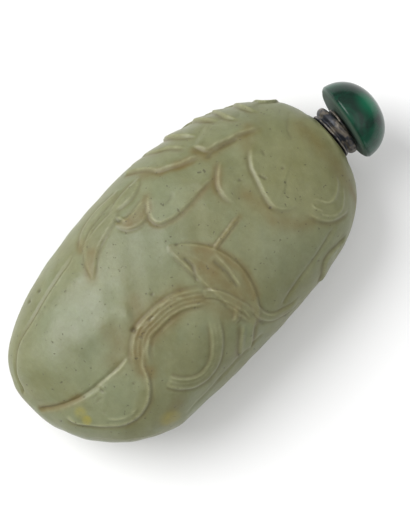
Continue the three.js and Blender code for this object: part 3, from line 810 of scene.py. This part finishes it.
def turned_tree(name, profile):
    """Turns a profile of (radius, height) pairs, in mm, round an upright Y axis, then seats it."""
    tree = bpy.data.node_groups.new(name, "GeometryNodeTree")
    for label, kind, value in (
            ("Sides", "Int", 96), ("Steps", "Int", 64), ("Dent Depth", "Float", 0.0),
            ("Dent Scale", "Float", 900.0), ("Place", "Vector", (0, 0, 0)), ("Lean", "Float", 0.0),
            ("Material", "Material", None)):
        socket = tree.interface.new_socket(label, in_out="INPUT", socket_type="NodeSocket" + kind)
        if value is not None:
            socket.default_value = value
    tree.interface.new_socket("Mesh", in_out="OUTPUT", socket_type="NodeSocketGeometry")
    wire = Wiring(tree)
    given = wire.node("NodeGroupInput").outputs
    grid = wire.node("GeometryNodeMeshGrid", Size_X=1.0, Size_Y=1.0)
    wire.feed(grid.inputs["Vertices X"], wire.math("ADD", given["Sides"], 1))
    wire.feed(grid.inputs["Vertices Y"], wire.math("ADD", given["Steps"], 1))
    flat = wire.node("ShaderNodeSeparateXYZ", Vector=wire.node("GeometryNodeInputPosition").outputs[0])
    angle = wire.math("MULTIPLY", wire.math("ADD", flat.outputs["X"], 0.5), 2 * math.pi)
    walk = wire.math("ADD", flat.outputs["Y"], 0.5)
    pairs = np.array(profile, float)
    walked = np.concatenate([[0], np.cumsum(np.linalg.norm(np.diff(pairs, axis=0), axis=1))])
    walked /= walked[-1]
    tracks = []
    for values in pairs.T:
        low, span = values.min(), np.ptp(values)
        curve = wire.node("ShaderNodeFloatCurve", Value=walk)
        track = curve.mapping.curves[0]
        track.points[0].location = (0, (values[0] - low) / span)
        track.points[1].location = (1, (values[-1] - low) / span)
        for at, value in zip(walked[1:-1], values[1:-1]):
            track.points.new(at, (value - low) / span)
        for point in track.points:
            point.handle_type = "VECTOR"
        curve.mapping.update()
        tracks.append(wire.math("MULTIPLY_ADD", curve.outputs[0], span * MM, low * MM))
    radius, height = tracks
    ring = wire.node("ShaderNodeCombineXYZ", Y=height)
    wire.feed(ring.inputs["X"], wire.math("MULTIPLY", radius, wire.math("COSINE", angle)))
    downward = wire.math("SINE", wire.math("MULTIPLY", angle, -1))
    wire.feed(ring.inputs["Z"], wire.math("MULTIPLY", radius, downward))
    marked = wire.node("GeometryNodeStoreNamedAttribute", Geometry=grid.outputs["Mesh"],
                       Name="walk", Value=walk)
    turned = wire.node("GeometryNodeSetPosition", Geometry=marked.outputs[0], Position=ring.outputs[0])
    closed = wire.node("GeometryNodeMergeByDistance", Geometry=turned.outputs[0], Distance=weld_distance)
    dent = wire.noise(wire.node("GeometryNodeInputPosition").outputs[0], given["Dent Scale"], 3.0)
    depth = wire.math("MULTIPLY", wire.ramp(dent, 0.52, 0.7), given["Dent Depth"])
    inward = wire.node("ShaderNodeVectorMath", {"operation": "SCALE"}, Scale=wire.math("MULTIPLY", depth, -1))
    wire.feed(inward.inputs[0], wire.node("GeometryNodeInputNormal").outputs[0])
    dented = wire.node("GeometryNodeSetPosition", Geometry=closed.outputs[0], Offset=inward.outputs[0])
    shaded = wire.node("GeometryNodeSetShadeSmooth", Geometry=dented.outputs[0])
    turn = wire.node("ShaderNodeCombineXYZ", Z=wire.math("MULTIPLY", given["Lean"], -1))
    seated = wire.node("GeometryNodeTransform", Geometry=shaded.outputs[0], Translation=given["Place"],
                       Rotation=turn.outputs[0])
    real = wire.node("GeometryNodeRealizeInstances", Geometry=seated.outputs[0])
    dressed = wire.node("GeometryNodeSetMaterial", Geometry=real.outputs[0], Material=given["Material"])
    wire.feed(wire.tree.nodes.new("NodeGroupOutput").inputs[0], dressed.outputs[0])
    return tree


def turned_piece(name, profile, place, lean, material, **sizes):
    tree = turned_tree(name, profile)
    maker = bpy.data.objects.new(name + "_maker", bpy.data.meshes.new(name + "_maker"))
    bpy.context.collection.objects.link(maker)
    modifier = maker.modifiers.new("turned", "NODES")
    modifier.node_group = tree
    sizes.update({"Place": [value * MM for value in place], "Lean": lean, "Material": material})
    for socket in tree.interface.items_tree:
        if socket.in_out == "INPUT" and socket.name.replace(" ", "_") in sizes:
            modifier[socket.identifier] = sizes[socket.name.replace(" ", "_")]
    seen = maker.evaluated_get(bpy.context.evaluated_depsgraph_get())
    piece = bpy.data.objects.new(name, bpy.data.meshes.new_from_object(seen))
    bpy.context.collection.objects.link(piece)
    bpy.data.objects.remove(maker)
    return piece


pale_cork = (0.36, 0.17, 0.06, 1)
dark_cork = (0.21, 0.09, 0.03, 1)
cork_pit = (0.05, 0.02, 0.01, 1)


def cork_material():
    material = bpy.data.materials.new("bark_cork")
    material.use_nodes = True
    wire = Wiring(material.node_tree)
    shader = material.node_tree.nodes["Principled BSDF"]
    place = wire.node("ShaderNodeTexCoord").outputs["Object"]
    cells = wire.ramp(wire.noise(place, 1800, 4, 0.6), 0.35, 0.65)
    pits = wire.ramp(wire.noise(place, 900, 3, 0.6, 1.0), 0.6, 0.68)
    colour = wire.blend(cells, dark_cork, pale_cork)
    wire.feed(shader.inputs["Base Color"], wire.blend(pits, colour, cork_pit))
    wire.feed(shader.inputs["Roughness"], wire.math("MULTIPLY_ADD", cells, 0.1, 0.82))
    bump = wire.node("ShaderNodeBump", Height=wire.math("SUBTRACT", cells, pits),
                     Strength=0.5, Distance=0.0001)
    wire.feed(shader.inputs["Normal"], bump.outputs["Normal"])
    return material


plug = turned_piece("stopper_plug", cork_profile, (seat_place[0], seat_place[1] - fit_gap, seat_place[2]),
                    mouth_lean, cork_material(), Sides=64, Steps=60, Dent_Depth=0.0001, Dent_Scale=1200.0)
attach(plug, "root")
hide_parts("stopper_cork")


# ---- The stopper's collar ---------------------------------------------------------------------------
# A rolled band of thin silver under the dome, tarnished nearly black and pitted, with its edges rubbed
# to a dull grey and brown. It sits on the mouth over the plug.

recess_floor = 1.5
collar_profile = [(0, 0), (3.75, 0), (3.9, 0.05), (3.95, 0.2), (3.93, 0.38), (3.8, 0.52), (3.72, 0.62),
                  (3.8, 0.75), (4.05, 0.92), (4.24, 1.15), (4.35, 1.5), (4.34, 1.75), (4.25, 1.98),
                (4.1, 2.1),
                  (3.85, 2.15), (3.55, 2.13), (3.45, 1.95), (3.4, 1.55), (3.3, recess_floor),
                (0, recess_floor)]


black_tarnish = (0.016, 0.018, 0.024, 1)
brown_tarnish = (0.05, 0.038, 0.026, 1)
bare_silver = (0.30, 0.27, 0.22, 1)


def tarnished_silver(name, worn_marks):
    """Silver under black tarnish, rubbed bare at the given places on the profile's walk."""
    material = bpy.data.materials.new(name)
    material.use_nodes = True
    wire = Wiring(material.node_tree)
    shader = material.node_tree.nodes["Principled BSDF"]
    place = wire.node("ShaderNodeTexCoord").outputs["Object"]
    walk = wire.node("ShaderNodeAttribute", {"attribute_name": "walk"}).outputs["Fac"]
    grain = wire.noise(place, 1400, 5, 0.65)
    patch = wire.ramp(wire.noise(place, 480, 4, 0.6, 0.8), 0.46, 0.62)
    rub = wire.math("MULTIPLY", patch, 0.3)
    for mark, width in worn_marks:
        near = wire.ramp(wire.math("ABSOLUTE", wire.math("SUBTRACT", walk, mark)), width, 0.0)
        rub = wire.math("MAXIMUM", rub, wire.math("MULTIPLY", near, wire.ramp(grain, 0.38, 0.6)))
    film = wire.blend(patch, black_tarnish, brown_tarnish)
    wire.feed(shader.inputs["Base Color"], wire.blend(rub, film, bare_silver))
    wire.feed(shader.inputs["Metallic"], wire.math("MULTIPLY_ADD", rub, 0.5, 0.35))
    wire.feed(shader.inputs["Roughness"], wire.math("MULTIPLY_ADD", grain, 0.4, 0.2))
    bump = wire.node("ShaderNodeBump", Height=grain, Strength=0.7, Distance=0.00012)
    wire.feed(shader.inputs["Normal"], bump.outputs["Normal"])
    return material


collar = turned_piece("stopper_band", collar_profile, seat_place, mouth_lean,
                      tarnished_silver("tarnished_silver", ((0.375, 0.012), (0.6, 0.02))),
                      Sides=120, Steps=110, Dent_Depth=0.00012, Dent_Scale=1500.0)
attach(collar, "root")
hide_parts("stopper_collar")


# ---- The disc under the dome ------------------------------------------------------------------------
# A thin silver plate that lies in the band's sunk top and carries the dome. It and the dome lean further
# than the band, so a wedge of air shows at the stopper's left side.

askew_lean = math.radians(11)
askew_rise = recess_floor + fit_gap + 0.45
askew_aside = -0.2
askew_place = (
    seat_place[0] + askew_rise * math.sin(mouth_lean) + askew_aside * math.cos(mouth_lean),
    seat_place[1] + askew_rise * math.cos(mouth_lean) - askew_aside * math.sin(mouth_lean),
    axis_height)
disc_profile = [(0, 0), (2.9, 0), (2.98, 0.05), (3, 0.2), (2.98, 0.35), (2.9, 0.4), (0, 0.4)]

disc = turned_piece("stopper_plate", disc_profile, askew_place, askew_lean,
                    tarnished_silver("dull_silver", ((0.48, 0.05),)),
                    Sides=96, Steps=80, Dent_Depth=0.00004, Dent_Scale=1500.0)
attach(disc, "root")
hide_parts("stopper_disc")


# ---- The dome ---------------------------------------------------------------------------------------
# A half ball of deep green glass, cloudy and darker in blotches, polished all over. Its flat underside
# has a ground, greyer rim.

dome_radius = 6.48
dome_height = 6.2
dome_bevel = 0.65
dome_profile = [(0, 0), (dome_radius - 1.2 * dome_bevel, 0), (dome_radius - 0.25, 0.3)]
for step in range(25):
    angle = step / 24 * math.pi / 2
    dome_profile.append((dome_radius * max(math.cos(angle), 0) ** 0.9,
                         dome_bevel + (dome_height - dome_bevel) * math.sin(angle)))


dark_glass = (0.001, 0.016, 0.009, 1)
light_glass = (0.001, 0.052, 0.026, 1)
# Colour of the painted glow of light inside the glass
painted_glow_glass = (0.001, 0.16, 0.075, 1)
black_glass = (0.001, 0.006, 0.004, 1)
ground_glass = (0.045, 0.075, 0.055, 1)


def green_glass():
    material = bpy.data.materials.new("deep_green_glass")
    material.use_nodes = True
    wire = Wiring(material.node_tree)
    shader = material.node_tree.nodes["Principled BSDF"]
    place = wire.node("ShaderNodeTexCoord").outputs["Object"]
    walk = wire.node("ShaderNodeAttribute", {"attribute_name": "walk"}).outputs["Fac"]
    cloud = wire.ramp(wire.noise(place, 230, 4, 0.6, 0.8), 0.36, 0.66)
    colour = wire.blend(cloud, dark_glass, light_glass)
    # Painted light: a bright patch near the dome's top stands in for light shining through the glass
    painted_glow = wire.spot(place, (2.2, 33.5, 15.5), 3.2, 0.1)
    colour = wire.blend(wire.math("MULTIPLY", painted_glow, 0.8), colour, painted_glow_glass)
    blot = wire.math("MULTIPLY", wire.spot(place, (5.0, 33.0, 14.6), 1.6, 0.2), 0.9)
    colour = wire.blend(blot, colour, black_glass)
    under = wire.ramp(walk, 0.40, 0.36)
    wire.feed(shader.inputs["Base Color"], wire.blend(under, colour, ground_glass))
    wire.feed(shader.inputs["Roughness"], wire.math("MULTIPLY_ADD", under, 0.4, 0.22))
    ripple = wire.noise(place, 300, 3, 0.5)
    bump = wire.node("ShaderNodeBump", Height=ripple, Strength=0.25, Distance=0.00015)
    wire.feed(shader.inputs["Normal"], bump.outputs["Normal"])
    shader.inputs["IOR"].default_value = 1.52
    shader.inputs["Specular IOR Level"].default_value = 0.3
    return material


disc_thickness = 0.4
dome_up = disc_thickness + fit_gap
dome_place = (
    askew_place[0] + dome_up * math.sin(askew_lean),
    askew_place[1] + dome_up * math.cos(askew_lean),
    axis_height)
dome = turned_piece("stopper_cabochon", dome_profile, dome_place, askew_lean, green_glass(),
                    Sides=160, Steps=120)
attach(dome, "root")
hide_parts("stopper_dome")
